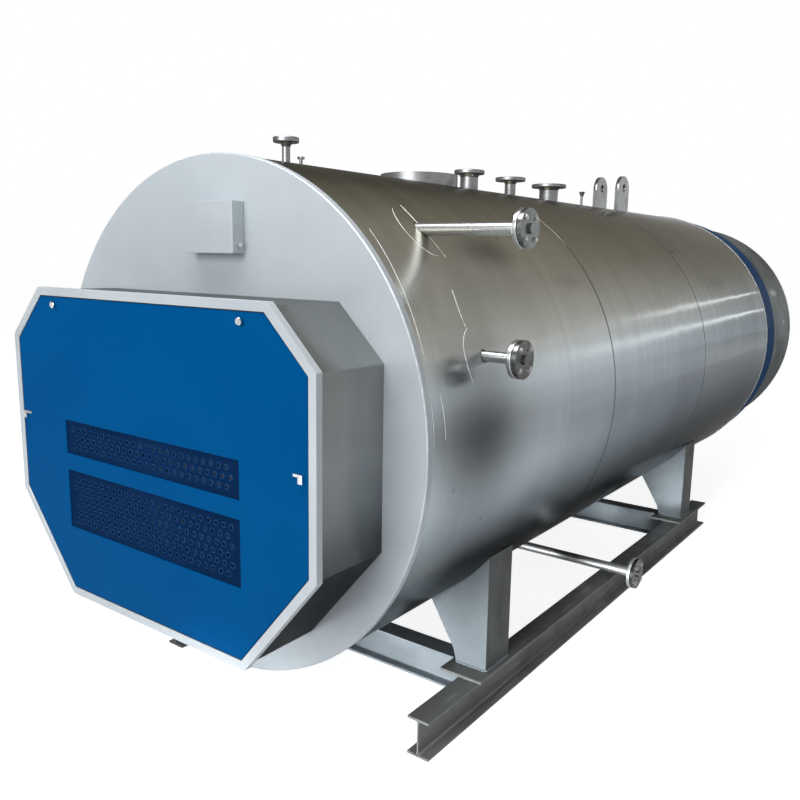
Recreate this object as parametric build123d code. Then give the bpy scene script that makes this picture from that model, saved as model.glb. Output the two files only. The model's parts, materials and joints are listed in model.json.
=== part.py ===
from build123d import *
import math
import os

# Horizontal fire-tube boiler on a steel skid. Millimetres.
# X is to the right of the front cover, Y runs along the barrel from the cover to the rear head, Z is up.
# The origin is on the ground under the middle of the overall box.

# Barrel. The head's crown and knuckle radii are shares of the shell's diameter.
lagging_radius = 846
lagging_length = 3940
lagging_thickness = 50
barrel_clearance = 136
first_joint = 1325
second_joint = 2557
joint_bevel = 2
plate_thickness = 24
plate_edge = 4
plate_edge_round = 4
plate_gap = 3
shell_wall = 12
shell_past_lagging = 920
seam_past_nozzle = 284
head_skirt = 40
head_crown_share = 0.9
head_knuckle_share = 0.17
end_trim_width = 12
end_trim_edge = 3
band_width = 270
band_step = 10

# Burner hood on the front plate
hood_depth = 286
hood_half_width = 707
hood_top = 423
hood_bottom = 628
hood_top_corner = (169, 167)
hood_bottom_corner = (278, 331)
hood_wall = 3
frame_overhang = 10
frame_face = 27
frame_depth = 24
frame_lip = 14
lip_thickness = 4
cover_gap = 3
cover_thickness = 4
cover_recess = 2

# Air inlets in the cover
inlet_width = 840
upper_inlet = (-12, 114)
lower_inlet = (-182, 201)
screen_margin = 12
screen_thickness = 2
screen_hole = 6.5
screen_pitch = 32.5
screen_rows = (3, 6)

# Cover fasteners and the small box above the hood
knob_radius = 11
knob_height = 14
knob_stem_radius = 6
knob_stem_height = 6
knob_bevel = 2
knob_inset = (265, 55)
latch_block = (16, 10, 26)
latch_arm = (30, 4, 8)
latch_arm_level = 6.5
latch_inset = 50
latch_drop = 21
box_left = -75
box_width = 226
box_bottom = 542
box_height = 158
box_depth = 48
box_knob_radius = 7
box_knob_height = 9
box_knob_level = 26

# Flue outlet
flue_radius = 163
flue_wall = 8
flue_place = 1134
flue_rise = 34
flue_inside = 10

# Upright nozzles: place along the barrel, pipe radius, bore radius, flange radius, bolt circle radius, hole radius
nozzle_rise = 91
nozzle_flange = 18
nozzle_neck = 14
nozzle_sizes = {
    "front_nozzle": (338, 14, 10, 45, 30, 7),
    "top_nozzle_front": (1535, 41, 35, 70, 50, 9),
    "top_nozzle_middle": (1926, 27, 21, 75, 55, 9),
    "top_nozzle_rear": (2356, 50, 44, 92.5, 72.5, 9),
}
flange_round = 4
flange_bolts = 4

# Vent stubs on the crown
cock_place = 412
cock_stem_radius = 6
cock_head_radius = 13
cock_rise = 34
cock_head_height = 8
funnel_place = 2790
funnel_stem_radius = 7
funnel_mouth_radius = 18
funnel_rise = 84
funnel_height = 28
funnel_wall = 3

# Lifting lugs
lug_setback = 713
lug_offset = 71
lug_thickness = 24
lug_width = 170
lug_rise = 207
lug_hole_radius = 22
lug_hole_drop = 70

# Gauge pipes on both sides
gauge_place = 349
gauge_heights = {"upper": (625, 20, 15), "lower": (251, 17, 12)}
gauge_stand = 82
gauge_flange_radius = 57.5
gauge_flange = 16
gauge_bolt_circle = 42.5
gauge_bolt_hole = 7
cover_disc = 14
cover_joint = 2
raised_face_margin = 4
cover_boss_radius = 15
cover_boss_height = 8

# Blow-down pipe under the barrel
drain_place = 1812
drain_clearance = 63
drain_radius = 22.5
drain_bore = 18.5
drain_bend = 55
drain_reach = 171
drain_flange_radius = 70
drain_flange = 16
drain_bolt_circle = 50
drain_bolt_hole = 9

# Skid and legs
beam_height = 140
beam_width = 88
beam_web = 6
beam_flange = 9
beam_root = 7
beam_inset = 209
beam_start = 289
beam_setback = 515
front_leg_place = 766
rear_leg_setback = 899
leg_thickness = 170
leg_outset = 30
leg_foot = 130
leg_knee = (145, 52)
leg_lean = 255
leg_wall = 10
base_thickness = 12
base_inset = 123
base_outset = 53
base_margin = 75

# Clearances
rest_gap = 0.3
lagging_hole_gap = 3
foot_sink = 24

# Sizes that follow from the others
shell_radius = lagging_radius - lagging_thickness
plate_radius = lagging_radius + plate_edge
end_trim_radius = lagging_radius + end_trim_edge
band_radius = lagging_radius - band_step
gauge_face = lagging_radius + gauge_stand
axis_height = beam_height + barrel_clearance + lagging_radius
lagging_crown = axis_height + lagging_radius
drain_level = beam_height + barrel_clearance - drain_clearance
shell_seam = nozzle_sizes["top_nozzle_middle"][0] + seam_past_nozzle
lug_place = lagging_length - lug_setback
lug_top = lagging_radius + lug_rise
beam_x = lagging_radius - beam_inset
leg_outer = beam_x + leg_outset
leg_top = leg_outer - leg_lean
base_inner = beam_x - base_inset
base_outer = beam_x + base_outset
drain_face = beam_x + drain_reach
leg_places = {"front": front_leg_place, "rear": lagging_length - rear_leg_setback}
beam_length = lagging_length - beam_setback - beam_start
knob_place = (hood_half_width - knob_inset[0], hood_top - knob_inset[1])
latch_place = (hood_half_width - latch_inset, -latch_drop)

head_crown = head_crown_share * 2 * shell_radius
head_knuckle = head_knuckle_share * 2 * shell_radius
knuckle_rise = math.sqrt((head_crown - head_knuckle) ** 2 - (shell_radius - head_knuckle) ** 2)
head_depth = head_crown - knuckle_rise
front_reach = hood_depth + knob_height - cover_recess
rear_reach = lagging_length + shell_past_lagging + head_skirt + head_depth
plate_face = (front_reach - rear_reach) / 2


def along(distance):
    """Place on Y of a distance measured back from the front plate's face."""
    return plate_face + distance


def ring(outer, inner, start, length, bevel=0):
    """Ring about the barrel's axis, from a distance behind the plate's face, with bevelled outer edges."""
    section = Pos((inner + outer) / 2, length / 2) * Rectangle(outer - inner, length)
    if bevel:
        section = chamfer(section.vertices().group_by(Axis.X)[-1], bevel)
    return Pos(0, along(start), axis_height) * revolve(section, Axis.Y)


def barrel(radius):
    """Solid cylinder on the barrel's axis, longer than the boiler, to cut saddles with."""
    return Pos(0, 0, axis_height) * (Rot(90, 0, 0) * Cylinder(radius, 2 * rear_reach))


def dished(inset):
    """Half section of a dished end towards +Y: a straight skirt, a knuckle arc and a crown arc."""
    radius, knuckle, crown = shell_radius - inset, head_knuckle - inset, head_crown - inset
    knuckle_x = radius - knuckle
    turn = math.degrees(math.atan2(knuckle_rise, knuckle_x))
    centre = (0, head_skirt - knuckle_rise)
    corner = CenterArc((knuckle_x, head_skirt), knuckle, 0, turn)
    dish = CenterArc(centre, crown, turn, 90 - turn)
    sides = Polyline((0, centre[1] + crown), (0, 0), (radius, 0), (radius, head_skirt))
    return make_face(corner + dish + sides)


def slab(outline, front, back):
    """Solid between two upright planes across the barrel, from an outline in X and Z about the axis."""
    upright = Plane.XZ.offset(-along(back)) * outline
    return Pos(0, 0, axis_height) * extrude(upright, back - front)


def turned(points):
    """Solid turned about Z from its half profile in X and Z."""
    return revolve(make_face(Plane.XZ * Polyline(*points, close=True)), Axis.Z)


def bolt_holes(circle, hole, length, start):
    """Cutters for a ring of bolt holes along Z."""
    middle = Pos(0, 0, start + length / 2)
    return [middle * place * Cylinder(hole, 2 * length) for place in PolarLocations(circle, flange_bolts, 45)]


def flanged_pipe(pipe, bore, flange, thickness, circle, hole, foot, face):
    """Straight pipe along Z with a necked flange whose joint face is at the top."""
    under = face - thickness
    body = turned([
        (bore, foot), (pipe, foot), (pipe, under - nozzle_neck), (pipe + nozzle_neck / 2, under),
        (flange, under), (flange, face), (bore, face),
    ])
    rims = body.edges().filter_by(GeomType.CIRCLE).filter_by(lambda e: abs(e.radius - flange) < 0.01)
    return fillet(rims, flange_round) - bolt_holes(circle, hole, thickness, under)


def cover_plate(flange, thickness, circle, hole):
    """Bolted cover along Z, with a low round boss in its middle, from its joint face up."""
    raised_face = circle - hole - raised_face_margin
    disc = turned([
        (0, -cover_joint), (raised_face, -cover_joint), (raised_face, 0), (flange, 0),
        (flange, thickness), (cover_boss_radius, thickness),
        (cover_boss_radius, thickness + cover_boss_height), (0, thickness + cover_boss_height),
    ])
    return disc - bolt_holes(circle, hole, thickness, 0)


def lagging_cut(radius, place):
    """Upright cutter for a pipe through the crown."""
    return Pos(0, along(place), axis_height + lagging_radius) * Cylinder(radius + lagging_hole_gap, lagging_radius)


def octagon(grow=0):
    """Hood outline about the barrel's axis, moved outwards by a distance."""
    (top_x, top_z), (bottom_x, bottom_z) = hood_top_corner, hood_bottom_corner
    half = [
        (hood_half_width - top_x, hood_top), (hood_half_width, hood_top - top_z),
        (hood_half_width, bottom_z - hood_bottom), (hood_half_width - bottom_x, -hood_bottom),
    ]
    points = half + [(-x, z) for x, z in reversed(half)]
    outline = make_face(Polyline(*points, close=True))
    return offset(outline, grow, kind=Kind.INTERSECTION) if grow else outline


def window(inlet, grow=0):
    """Air inlet outline: its top edge and its height, made larger by a margin all round."""
    top, height = inlet
    return Pos(0, top - height / 2) * Rectangle(inlet_width + 2 * grow, height + 2 * grow)


parts = {}

# Barrel: front plate, pressure shell in two courses, lagging in three lengths, end trim, band and dished head
plate = Pos(0, along(plate_thickness / 2), axis_height) * (Rot(90, 0, 0) * Cylinder(plate_radius, plate_thickness))
parts["front_plate"] = fillet(plate.edges().sort_by(Axis.Y)[0], plate_edge_round)

head_start = lagging_length + shell_past_lagging
shell_ends = {
    "shell_front": (plate_thickness + rest_gap, shell_seam),
    "shell_rear": (shell_seam, head_start - rest_gap),
}
flue_foot = axis_height + math.sqrt((shell_radius - shell_wall) ** 2 - flue_radius ** 2) - flue_inside
flue_height = lagging_crown + flue_rise - flue_foot
flue_cut = Pos(0, along(flue_place), flue_foot + flue_height / 2) * Cylinder(flue_radius + rest_gap, flue_height)
for name, (start, end) in shell_ends.items():
    course = ring(shell_radius, shell_radius - shell_wall, start, end - start)
    meets_flue = start < flue_place + flue_radius and flue_place - flue_radius < end
    parts[name] = course - flue_cut if meets_flue else course

crown_pipes = {name: (size[0], size[1]) for name, size in nozzle_sizes.items()}
crown_pipes["vent_cock"] = (cock_place, cock_stem_radius)
crown_pipes["vent_funnel"] = (funnel_place, funnel_stem_radius)
crown_pipes["flue"] = (flue_place, flue_radius)

side_cuts = []
for height, pipe, bore in gauge_heights.values():
    across = Rot(0, 90, 0) * Cylinder(pipe + lagging_hole_gap, 4 * lagging_radius)
    side_cuts.append(Pos(0, along(gauge_place), axis_height + height) * across)
drain_cut = Pos(0, along(drain_place), 0) * Cylinder(drain_radius + lagging_hole_gap, 2 * axis_height - 2)

lug_cuts = []
for side in (1, -1):
    slot = Box(lug_thickness + 2 * lagging_hole_gap, lug_width + 2 * lagging_hole_gap, lagging_radius)
    lug_cuts.append(Pos(side * lug_offset, along(lug_place), lagging_crown) * slot)

lagging_ends = {
    "lagging_front": (plate_thickness + plate_gap, first_joint),
    "lagging_middle": (first_joint, second_joint),
    "lagging_rear": (second_joint, lagging_length - end_trim_width),
}
cuts = [(place, pipe, [lagging_cut(pipe, place)]) for place, pipe in crown_pipes.values()]
cuts += [(gauge_place, gauge_flange_radius, side_cuts), (drain_place, drain_radius, [drain_cut])]
cuts += [(lug_place, lug_width / 2, lug_cuts)]
for name, (start, end) in lagging_ends.items():
    length = ring(lagging_radius, shell_radius + rest_gap, start, end - start, joint_bevel)
    for place, half, cutters in cuts:
        if start < place + half + lagging_hole_gap and place - half - lagging_hole_gap < end:
            length -= cutters
    parts[name] = length

trim_start = lagging_length - end_trim_width
parts["end_trim"] = ring(end_trim_radius, shell_radius + rest_gap, trim_start, end_trim_width, joint_bevel)
parts["rear_band"] = ring(band_radius, shell_radius + rest_gap, lagging_length, band_width, joint_bevel)

head_wall = dished(0) - dished(shell_wall)
parts["rear_head"] = Pos(0, along(head_start), axis_height) * revolve(head_wall, Axis.Y)

# Burner hood: sheet sides, cover frame, cover with its two air inlets and their screens
sides = octagon(-frame_overhang) - octagon(-frame_overhang - hood_wall)
parts["hood_sides"] = slab(sides, frame_depth - hood_depth, 0)

cover_back = -hood_depth + cover_recess + cover_thickness
frame = slab(octagon() - octagon(-frame_face), -hood_depth, frame_depth - hood_depth)
lip = slab(octagon(-frame_face) - octagon(-frame_face - frame_lip), cover_back, cover_back + lip_thickness)
parts["cover_frame"] = frame + lip

inlets = window(upper_inlet) + window(lower_inlet)
cover = slab(octagon(-frame_face - cover_gap) - inlets, cover_back - cover_thickness, cover_back)
parts["front_cover"] = cover

for name, inlet, rows in (("upper_screen", upper_inlet, 0), ("lower_screen", lower_inlet, 1)):
    middle = inlet[0] - inlet[1] / 2
    row_step = screen_pitch * math.sqrt(3) / 2
    columns = int((inlet_width - screen_pitch) / screen_pitch)
    holes = []
    for row in range(screen_rows[rows]):
        level = middle + (row - (screen_rows[rows] - 1) / 2) * row_step
        shift = screen_pitch / 4 * (1 if row % 2 else -1)
        with_holes = Pos(shift, level) * GridLocations(screen_pitch, screen_pitch, columns, 1)
        holes += [place * RegularPolygon(screen_hole, 6) for place in with_holes]
    sheet = window(inlet, screen_margin) - holes
    parts[name] = slab(sheet, cover_back, cover_back + screen_thickness)

knobs = []
latches = []
for side in (1, -1):
    knob = turned([
        (0, 0), (knob_stem_radius, 0), (knob_stem_radius, knob_stem_height),
        (knob_radius, knob_stem_height + knob_bevel), (knob_radius, knob_height - knob_bevel),
        (knob_radius - knob_bevel, knob_height), (0, knob_height),
    ])
    knob_x, knob_z = knob_place
    cover_face = along(cover_back - cover_thickness)
    knobs.append(Pos(side * knob_x, cover_face, axis_height + knob_z) * (Rot(90, 0, 0) * knob))
    latch_x, latch_z = latch_place
    block = Pos(0, -latch_block[1] / 2, 0) * Box(*latch_block)
    arm = Pos(-side * latch_arm[0] / 2, -latch_arm[1] / 2, latch_arm_level) * Box(*latch_arm)
    latches.append(Pos(side * latch_x, cover_face, axis_height + latch_z) * (block + arm))
parts["cover_knobs"] = Compound(knobs)
parts["cover_latches"] = Compound(latches)

# Small closed box on the plate above the hood, with a knob on its side
box_outline = Pos(box_left + box_width / 2, box_bottom + box_height / 2) * Rectangle(box_width, box_height)
parts["plate_box"] = slab(box_outline, -box_depth, 0)
box_knob = Rot(0, 90, 0) * (Pos(0, 0, box_knob_height / 2) * Cylinder(box_knob_radius, box_knob_height))
box_knob_y = along(-box_depth / 2)
box_knob_z = axis_height + box_bottom + box_knob_level
parts["box_knob"] = Pos(box_left + box_width, box_knob_y, box_knob_z) * box_knob

# Flue outlet collar, set through the shell
collar = Cylinder(flue_radius, flue_height) - Cylinder(flue_radius - flue_wall, 2 * flue_height)
parts["flue_collar"] = Pos(0, along(flue_place), flue_foot + flue_height / 2) * collar

# Upright nozzles and vent stubs, their feet cut to the shell
saddle = barrel(shell_radius + rest_gap)
foot_level = axis_height + shell_radius - foot_sink
for name, (place, pipe, bore, flange, circle, hole) in nozzle_sizes.items():
    face = lagging_crown + nozzle_rise
    nozzle = flanged_pipe(pipe, bore, flange, nozzle_flange, circle, hole, foot_level, face)
    parts[name] = Pos(0, along(place), 0) * nozzle - saddle

cock_top = lagging_crown + cock_rise
cock = turned([
    (0, foot_level), (cock_stem_radius, foot_level), (cock_stem_radius, cock_top - cock_head_height),
    (cock_head_radius, cock_top - cock_head_height), (cock_head_radius, cock_top), (0, cock_top),
])
parts["vent_cock"] = Pos(0, along(cock_place), 0) * cock - saddle

funnel_top = lagging_crown + funnel_rise
funnel = turned([
    (0, foot_level), (funnel_stem_radius, foot_level), (funnel_stem_radius, funnel_top - funnel_height),
    (funnel_mouth_radius, funnel_top), (funnel_mouth_radius - funnel_wall, funnel_top),
    (0, funnel_top - funnel_height + funnel_wall),
])
parts["vent_funnel"] = Pos(0, along(funnel_place), 0) * funnel - saddle

# Lifting lugs: round-headed plates either side of the crown
lug_round = lug_width / 2
lug_foot = shell_radius - foot_sink
lug_straight = lug_top - lug_round - lug_foot
lug_face = Pos(0, lug_foot + lug_straight / 2) * Rectangle(lug_width, lug_straight)
lug_face += Pos(0, lug_top - lug_round) * Circle(lug_round)
lug_face -= Pos(0, lug_top - lug_hole_drop) * Circle(lug_hole_radius)
lug_plate = extrude(Plane.YZ * lug_face, lug_thickness / 2, both=True)
lugs = [Pos(side * lug_offset, along(lug_place), axis_height) * lug_plate - saddle for side in (1, -1)]
parts["lifting_lugs"] = Compound(lugs)

# Gauge pipes with bolted covers, the same on both sides
for level, (height, pipe, bore) in gauge_heights.items():
    foot = math.sqrt(shell_radius ** 2 - height ** 2) - 2 * pipe
    pipe_solid = flanged_pipe(
        pipe, bore, gauge_flange_radius, gauge_flange, gauge_bolt_circle, gauge_bolt_hole, foot, gauge_face
    )
    disc = cover_plate(gauge_flange_radius, cover_disc, gauge_bolt_circle, gauge_bolt_hole)
    disc = Pos(0, 0, gauge_face + cover_joint) * disc
    for side_name, side in (("right", 1), ("left", -1)):
        there = Pos(0, along(gauge_place), axis_height + height) * Rot(0, side * 90, 0)
        parts[f"{level}_gauge_pipe_{side_name}"] = there * pipe_solid - saddle
        parts[f"{level}_gauge_cover_{side_name}"] = there * disc

# Blow-down pipe: out of the bottom of the shell, one bend, then out to the right
drain_join = drain_face - drain_flange - 2 * nozzle_neck
route = FilletPolyline(
    (0, 0, axis_height - shell_radius + foot_sink), (0, 0, drain_level), (drain_join, 0, drain_level),
    radius=drain_bend,
)
section = Plane(origin=route @ 0, z_dir=route % 0) * (Circle(drain_radius) - Circle(drain_bore))
pipe_run = Pos(0, along(drain_place), 0) * sweep(section, route) - saddle
drain_end = flanged_pipe(
    drain_radius, drain_bore, drain_flange_radius, drain_flange, drain_bolt_circle, drain_bolt_hole,
    drain_join, drain_face,
)
drain_spot = Pos(0, along(drain_place), drain_level) * Rot(0, 90, 0)
parts["blow_down_pipe"] = pipe_run + drain_spot * drain_end
drain_disc = cover_plate(drain_flange_radius, cover_disc, drain_bolt_circle, drain_bolt_hole)
parts["blow_down_cover"] = drain_spot * (Pos(0, 0, drain_face + cover_joint) * drain_disc)

# Legs: welded box legs with a tapered inner side, cut to the lagging, on base plates
leg_bottom = beam_height + base_thickness
foot_inner = leg_outer - leg_foot
knee_x = leg_outer - leg_knee[0]
knee_z = leg_bottom + leg_knee[1]
top_z = axis_height - math.sqrt(lagging_radius ** 2 - leg_top ** 2)
inside_x = leg_top + (leg_top - knee_x) / 2
inside_z = top_z + (top_z - knee_z) / 2
leg_outline = make_face(Polyline(
    (leg_outer, leg_bottom), (foot_inner, leg_bottom), (knee_x, knee_z), (inside_x, inside_z),
    (leg_outer, axis_height), close=True,
))
leg_inside = offset(leg_outline, -leg_wall, kind=Kind.INTERSECTION)
around_lagging = barrel(lagging_radius + rest_gap)
base_plates = []
for place_name, place in leg_places.items():
    outside = extrude(Plane.XZ * leg_outline, leg_thickness / 2, both=True)
    inside = extrude(Plane.XZ * leg_inside, leg_thickness / 2 - leg_wall, both=True)
    leg = Pos(0, along(place), 0) * (outside - inside) - around_lagging
    parts[f"{place_name}_leg_right"] = leg
    parts[f"{place_name}_leg_left"] = mirror(leg, Plane.YZ)
    base = Box(base_outer - base_inner, leg_thickness + 2 * base_margin, base_thickness)
    base_x = (base_outer + base_inner) / 2
    for side in (1, -1):
        base_plates.append(Pos(side * base_x, along(place), beam_height + base_thickness / 2) * base)
parts["base_plates"] = Compound(base_plates)

# Skid: two long rolled beams and two cross beams coped in between their flanges
flange_face = Rectangle(beam_width, beam_flange)
beam_face = Rectangle(beam_web, beam_height)
beam_face += Pos(0, (beam_height - beam_flange) / 2) * flange_face
beam_face += Pos(0, -(beam_height - beam_flange) / 2) * flange_face
roots = [
    corner for corner in beam_face.vertices()
    if abs(abs(corner.X) - beam_web / 2) < 0.01 and abs(corner.Y) < beam_height / 2 - beam_flange / 2
]
beam_face = fillet(roots, beam_root)
long_beam = extrude(Plane.XZ.offset(-along(beam_start + beam_length)) * beam_face, beam_length)
long_beam = Pos(0, 0, beam_height / 2) * long_beam
parts["skid_beam_right"] = Pos(beam_x, 0, 0) * long_beam
parts["skid_beam_left"] = Pos(-beam_x, 0, 0) * long_beam

cross_half = beam_x - beam_web / 2 - rest_gap
cope_depth = (beam_width - beam_web) / 2 + rest_gap
cope_height = beam_flange + beam_root
cross_beam = Pos(0, 0, beam_height / 2) * extrude(Plane.YZ * beam_face, cross_half, both=True)
for side in (1, -1):
    for level in (cope_height / 2, beam_height - cope_height / 2):
        cope = Box(2 * cope_depth, 2 * beam_width, cope_height + 2 * rest_gap)
        cross_beam -= Pos(side * cross_half, 0, level) * cope
for place_name, place in leg_places.items():
    parts[f"cross_beam_{place_name}"] = Pos(0, along(place), 0) * cross_beam

os.makedirs("parts", exist_ok=True)
for name, shape in parts.items():
    export_step(shape, f"parts/{name}.step")
print(len(parts), "nodes, overall", round(front_reach + rear_reach), "long")
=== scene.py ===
# %% [markdown]
# # A horizontal fire-tube boiler, dressed in Blender
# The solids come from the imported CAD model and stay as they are. This lesson gives them their finishes and
# adds the small things that CAD leaves out: bolts and nuts, pressed rims round the screen holes, a rubber
# seal round the cover, weld beads, and the cut edges of the film that protected the sheet. One Blender unit
# is a metre. X is to the right for someone who faces the front cover, Y runs along the barrel from the
# burner hood to the rear head, and Z is up.

# %% Load the frame
import json
import math

import bpy
import numpy as np
from mathutils import Matrix, Vector


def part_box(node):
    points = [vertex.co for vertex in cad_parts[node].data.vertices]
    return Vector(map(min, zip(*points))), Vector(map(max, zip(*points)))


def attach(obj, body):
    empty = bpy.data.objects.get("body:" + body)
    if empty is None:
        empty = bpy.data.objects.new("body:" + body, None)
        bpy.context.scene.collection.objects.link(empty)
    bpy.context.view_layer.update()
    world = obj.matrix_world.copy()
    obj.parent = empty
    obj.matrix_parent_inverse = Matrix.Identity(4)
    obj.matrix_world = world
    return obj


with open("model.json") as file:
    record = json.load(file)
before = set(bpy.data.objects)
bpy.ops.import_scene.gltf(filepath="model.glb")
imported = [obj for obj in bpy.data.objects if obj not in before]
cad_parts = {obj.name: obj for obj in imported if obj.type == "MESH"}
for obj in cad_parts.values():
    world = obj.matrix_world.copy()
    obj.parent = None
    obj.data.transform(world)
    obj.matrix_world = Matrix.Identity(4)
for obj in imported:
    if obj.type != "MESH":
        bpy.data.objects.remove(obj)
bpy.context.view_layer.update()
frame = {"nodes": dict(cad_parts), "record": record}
nodes = frame["nodes"]


def matching(*parts):
    """Names of the nodes that hold one of the parts, in order."""
    return [name for name in sorted(nodes) if any(part in name for part in parts)]


# %% [markdown]
# ## Measure the barrel
# Nearly everything on this boiler is placed from two things: the barrel's axis and the front plate's face.
# Both are read from the frame, so a piece stays seated if the CAD changes.

# %% Axis, plate face and radius
plate_low, plate_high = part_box("front_plate")
AXIS_Z = (plate_low.z + plate_high.z) / 2
PLATE_FACE = plate_low.y
LAGGING_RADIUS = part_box("lagging_middle")[1].x
print("axis at", round(AXIS_Z, 3), "face at", round(PLATE_FACE, 4), "radius", round(LAGGING_RADIUS, 3))


def along(distance):
    """Place on Y of a distance behind the front plate's face: the face plus the distance."""
    return PLATE_FACE + distance


def on_barrel(distance, degrees, radius=LAGGING_RADIUS):
    """Point on the barrel's right side: millimetres behind the plate and degrees above the axis. X is the
    radius times the cosine, and Z is the axis plus the radius times the sine."""
    angle = math.radians(degrees)
    return radius * math.cos(angle), along(distance / 1000), AXIS_Z + radius * math.sin(angle)


# %% [markdown]
# ## Small shader helpers
# A procedural material is a tree of nodes. A few helpers keep the trees readable: one adds a node with its
# values set, one joins an output to an input, and one does arithmetic with their values. The last one
# starts a node group, which is a small tree under one name that many materials can use. Every group here
# reads a point and gives back one value.

# %% Add and join nodes, start a group
def add(tree, kind, inputs=None, **settings):
    """Adds a shader node. Inputs map a socket's name or number to a value, settings are the node's own
    fields."""
    node = tree.nodes.new("ShaderNode" + kind)
    for field, value in settings.items():
        setattr(node, field, value)
    for socket, value in (inputs or {}).items():
        node.inputs[socket].default_value = value
    return node


def join(tree, source, target, output=0, socket=0):
    """Joins an output of one node to an input of another and gives the target back."""
    tree.links.new(source.outputs[output], target.inputs[socket])
    return target


def maths(tree, operation, *values, kind="Math"):
    """Adds a node of arithmetic. Each value is a plain number, or a node and its output as a pair."""
    node = add(tree, kind, operation=operation)
    for socket, value in enumerate(values):
        if isinstance(value, tuple):
            join(tree, value[0], node, value[1], socket)
        else:
            node.inputs[socket].default_value = value
    return node


def new_group(name, **inputs):
    """Starts a node group with a point, the named inputs at their usual values, and one value as its
    output."""
    tree = bpy.data.node_groups.new(name, "ShaderNodeTree")
    for label, value in {"Point": (0.0, 0.0, 0.0), **inputs}.items():
        kind = "Vector" if isinstance(value, tuple) else "Float"
        socket = tree.interface.new_socket(label, in_out="INPUT", socket_type="NodeSocket" + kind)
        socket.default_value = value
    tree.interface.new_socket("Value", in_out="OUTPUT", socket_type="NodeSocketFloat")
    return tree, tree.nodes.new("NodeGroupInput"), tree.nodes.new("NodeGroupOutput")


# %% [markdown]
# ## Shared effects
# Rolled sheet, paint and bare steel share four effects. *Grain* is fine scratches in one direction, which
# is noise squeezed along one axis. *Patches* is slow, cloudy change, as from wiping or dust. *Speckle* is
# small spots, and *spot* is one soft mark at a known place. Two more belong to the barrel: *height* says
# how far up the barrel a point is, and *seam* is a thin line across it where two sheets meet.

# %% Grain, patches, speckle and spot
SPECKLE_GATE = 0.56


def make_grain():
    """Grain is noise read at the point times a scale for each axis: high across the scratches, low along
    them."""
    tree, source, result = new_group("grain", Scale=(4.0, 400.0, 4.0), Detail=4.0)
    stretch = maths(tree, "MULTIPLY", (source, "Point"), (source, "Scale"), kind="VectorMath")
    noise = add(tree, "TexNoise", {"Scale": 1.0, "Roughness": 0.6})
    join(tree, stretch, noise, 0, "Vector")
    join(tree, source, noise, "Detail", "Detail")
    join(tree, noise, result, "Fac", "Value")
    return tree


def make_patches():
    """Patches is slow noise, with the part between low and high stretched to the whole range from 0 to 1."""
    tree, source, result = new_group("patches", Scale=2.0, Low=0.4, High=0.6)
    noise = add(tree, "TexNoise", {"Detail": 5.0, "Roughness": 0.55, "Distortion": 0.4})
    join(tree, source, noise, "Point", "Vector")
    join(tree, source, noise, "Scale", "Scale")
    stretch = add(tree, "MapRange", interpolation_type="SMOOTHSTEP")
    join(tree, noise, stretch, "Fac", "Value")
    join(tree, source, stretch, "Low", "From Min")
    join(tree, source, stretch, "High", "From Max")
    join(tree, stretch, result, "Result", "Value")
    return tree


def make_speckle():
    """Speckle is 1 inside small round cells that a second, slower noise lets through, and 0 elsewhere."""
    tree, source, result = new_group("speckle", Scale=60.0, Size=0.12)
    cells = add(tree, "TexVoronoi", {"Randomness": 1.0})
    join(tree, source, cells, "Point", "Vector")
    join(tree, source, cells, "Scale", "Scale")
    small = maths(tree, "LESS_THAN", (cells, "Distance"), (source, "Size"))
    where = add(tree, "TexNoise", {"Scale": 5.0, "Detail": 2.0})
    join(tree, source, where, "Point", "Vector")
    gate = maths(tree, "GREATER_THAN", (where, "Fac"), SPECKLE_GATE)
    both = maths(tree, "MULTIPLY", (small, 0), (gate, 0))
    join(tree, both, result, 0, "Value")
    return tree


def make_spot():
    """Spot is 1 at its centre and falls smoothly to 0 where the distance, over a size for each axis, is
    1."""
    tree, source, result = new_group("spot", Centre=(0.0, 0.0, 0.0), Size=(0.1, 0.1, 0.1))
    away = maths(tree, "SUBTRACT", (source, "Point"), (source, "Centre"), kind="VectorMath")
    scaled = maths(tree, "DIVIDE", (away, 0), (source, "Size"), kind="VectorMath")
    length = maths(tree, "LENGTH", (scaled, 0), kind="VectorMath")
    fall = add(tree, "MapRange", {"From Min": 1.0, "From Max": 0.0}, interpolation_type="SMOOTHSTEP")
    join(tree, length, fall, "Value", "Value")
    join(tree, fall, result, "Result", "Value")
    return tree


# %% Height and seam
def make_barrel_height():
    """Height on the barrel is how far the point is above the axis, over the radius, taken from -1..1 to
    0..1."""
    tree, source, result = new_group("barrel_height", Axis=AXIS_Z, Radius=LAGGING_RADIUS)
    parts = join(tree, source, add(tree, "SeparateXYZ"), "Point", 0)
    above = maths(tree, "SUBTRACT", (parts, "Z"), (source, "Axis"))
    share = maths(tree, "DIVIDE", (above, 0), (source, "Radius"))
    half = maths(tree, "MULTIPLY_ADD", (share, 0), 0.5, 0.5)
    join(tree, half, result, 0, "Value")
    return tree


def make_seam():
    """Seam is 1 on a plane across the barrel and falls to 0 at a width on either side of it."""
    tree, source, result = new_group("seam", Place=0.0, Width=0.004)
    parts = join(tree, source, add(tree, "SeparateXYZ"), "Point", 0)
    away = maths(tree, "SUBTRACT", (parts, "Y"), (source, "Place"))
    either = maths(tree, "ABSOLUTE", (away, 0))
    fall = add(tree, "MapRange", {"To Min": 1.0, "To Max": 0.0}, interpolation_type="SMOOTHSTEP")
    join(tree, either, fall, 0, "Value")
    join(tree, source, fall, "Width", "From Max")
    join(tree, fall, result, "Result", "Value")
    return tree


GRAIN, PATCHES, SPECKLE, SPOT = make_grain(), make_patches(), make_speckle(), make_spot()
BARREL_HEIGHT, SEAM = make_barrel_height(), make_seam()
print("effects:", [group.name for group in (GRAIN, PATCHES, SPECKLE, SPOT, BARREL_HEIGHT, SEAM)])

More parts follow.
